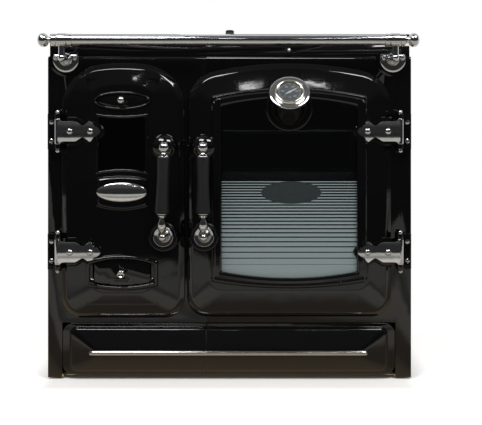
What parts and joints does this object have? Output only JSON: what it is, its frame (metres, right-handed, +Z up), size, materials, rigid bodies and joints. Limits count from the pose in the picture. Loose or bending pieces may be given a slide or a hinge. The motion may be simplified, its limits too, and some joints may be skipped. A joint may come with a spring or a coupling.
{
  "type": "cast iron range cooker",
  "caption": "Solid-fuel range cooker: arched glazed fire door and oven door, hot plates, flue spigot, towel rail and a log drawer, with lever latches.",
  "frame": {"origin": "on the floor, under the centre of the whole cooker's bounding box", "axes": "+Z up, +X to the right of someone who faces the front, the front faces -Y"},
  "size_m": [0.9249, 0.7074, 0.886],
  "materials": {
    "enamel": "gloss black vitreous enamel on cast iron",
    "painted_steel": "satin black paint",
    "cast_iron": "ground and blacked cast iron",
    "steel": "mill-finish sheet steel",
    "chrome": "polished chrome plate",
    "brass": "polished pale brass",
    "glass": "tinted oven glass with printed lines",
    "rope": "braided glass-fibre rope",
    "fire_brick": "pressed vermiculite fire brick",
    "black_plastic": "satin black moulded phenolic",
    "dial": "dark grey printed dial",
    "dial_mark": "white paint"
  },
  "bodies": {
    "cooker": {"base_frame": "painted_steel", "levelling_feet": "steel", "side_panel_left": "enamel", "side_panel_right": "enamel", "back_panel": "painted_steel", "front_frame_left": "enamel", "front_frame_right": "enamel", "hob_frame": "enamel", "hob_plate_left": "cast_iron", "hob_plate_right": "cast_iron", "firebox_shell": "steel", "firebox_bricks": "fire_brick", "fire_grate": "cast_iron", "ash_pan": "steel", "oven_box": "steel", "oven_shelf": "chrome", "oven_tray": "steel", "flue_collar": "cast_iron", "hinge_leaves": "enamel", "hinge_leaf_screws": "chrome", "hinge_pins": "chrome", "door_keepers": "steel", "rail_tube": "chrome", "rail_brackets": "chrome", "rail_finials": "chrome"},
    "fire_door": {"fire_door_casting": "enamel", "fire_door_glass": "glass", "fire_door_rope_seal": "rope", "fire_door_oval_plate": "chrome", "fire_door_straps": "chrome", "fire_door_fasteners": "chrome"},
    "upper_shutter": {"upper_air_shutter": "enamel"},
    "upper_knob": {"upper_air_knob": "chrome"},
    "lower_shutter": {"lower_air_shutter": "enamel"},
    "lower_knob": {"lower_air_knob": "chrome"},
    "fire_latch": {"fire_latch_spindle": "chrome", "fire_handle_fittings": "chrome", "fire_handle_grip": "black_plastic"},
    "oven_door": {"oven_door_casting": "enamel", "oven_door_glass": "glass", "oven_door_inner_glass": "glass", "oven_door_rope_seal": "rope", "oven_door_straps": "chrome", "oven_door_rivets": "chrome", "thermometer_housing": "enamel", "thermometer_bezel": "brass", "thermometer_dial": "dial", "thermometer_glass": "glass"},
    "thermometer_pointer": {"thermometer_needle": "dial_mark"},
    "oven_latch": {"oven_latch_spindle": "chrome", "oven_handle_fittings": "chrome", "oven_handle_grip": "black_plastic"},
    "damper": {"flue_damper": "chrome"},
    "regulator": {"regulator_knob": "black_plastic"},
    "ring": {"hob_ring": "cast_iron"},
    "lid": {"hob_disc": "cast_iron"},
    "log_drawer": {"drawer_front_left": "enamel", "drawer_front_right": "enamel", "drawer_box": "steel", "drawer_strip": "chrome"}
  },
  "joints": [
    {"name": "fire_door_swing", "type": "hinge", "parent": "cooker", "child": "fire_door", "pos_m": [-0.4205, -0.26581, 0.465], "axis": [0, 0, -1], "range_deg": [0, 110]},
    {"name": "oven_door_swing", "type": "hinge", "parent": "cooker", "child": "oven_door", "pos_m": [0.4205, -0.26581, 0.465], "axis": [0, 0, 1], "range_deg": [0, 110]},
    {"name": "fire_latch_turn", "type": "hinge", "parent": "fire_door", "child": "fire_latch", "pos_m": [-0.161, -0.27631, 0.355], "axis": [0, -1, 0], "range_deg": [0, 45]},
    {"name": "oven_latch_turn", "type": "hinge", "parent": "oven_door", "child": "oven_latch", "pos_m": [-0.061, -0.27631, 0.355], "axis": [0, 1, 0], "range_deg": [0, 45]},
    {"name": "upper_air_slide", "type": "slide", "parent": "fire_door", "child": "upper_shutter", "axis": [0, -1, 0], "range_m": [0, 0.008]},
    {"name": "lower_air_slide", "type": "slide", "parent": "fire_door", "child": "lower_shutter", "axis": [0, -1, 0], "range_m": [0, 0.008]},
    {"name": "upper_air_knob_turn", "type": "hinge", "parent": "upper_shutter", "child": "upper_knob", "pos_m": [-0.2625, -0.27631, 0.689], "axis": [0, -1, 0], "range_deg": [0, 1446]},
    {"name": "lower_air_knob_turn", "type": "hinge", "parent": "lower_shutter", "child": "lower_knob", "pos_m": [-0.2625, -0.27631, 0.265], "axis": [0, -1, 0], "range_deg": [0, 1446]},
    {"name": "thermometer_pointer_turn", "type": "hinge", "parent": "oven_door", "child": "thermometer_pointer", "pos_m": [0.1475, -0.32231, 0.7035], "axis": [0, -0.8192, 0.5736], "range_deg": [-75, 195]},
    {"name": "damper_pull", "type": "slide", "parent": "cooker", "child": "damper", "axis": [0, -1, 0], "range_m": [0, 0.06]},
    {"name": "regulator_turn", "type": "hinge", "parent": "cooker", "child": "regulator", "pos_m": [-0.001, -0.20831, 0.86], "axis": [0, 0, 1], "range_deg": [-180, 0]},
    {"name": "hob_ring_lift", "type": "slide", "parent": "cooker", "child": "ring", "axis": [0, 0, 1], "range_m": [0, 0.06]},
    {"name": "hob_lid_lift", "type": "slide", "parent": "ring", "child": "lid", "axis": [0, 0, 1], "range_m": [0, 0.06]},
    {"name": "log_drawer_slide", "type": "slide", "parent": "cooker", "child": "log_drawer", "axis": [0, -1, 0], "range_m": [0, 0.4]}
  ],
  "couplings": [
    {"joint": "upper_air_knob_turn", "follows": "upper_air_slide", "rad_per_m": 3141.6},
    {"joint": "lower_air_knob_turn", "follows": "lower_air_slide", "rad_per_m": 3141.6}
  ]
}
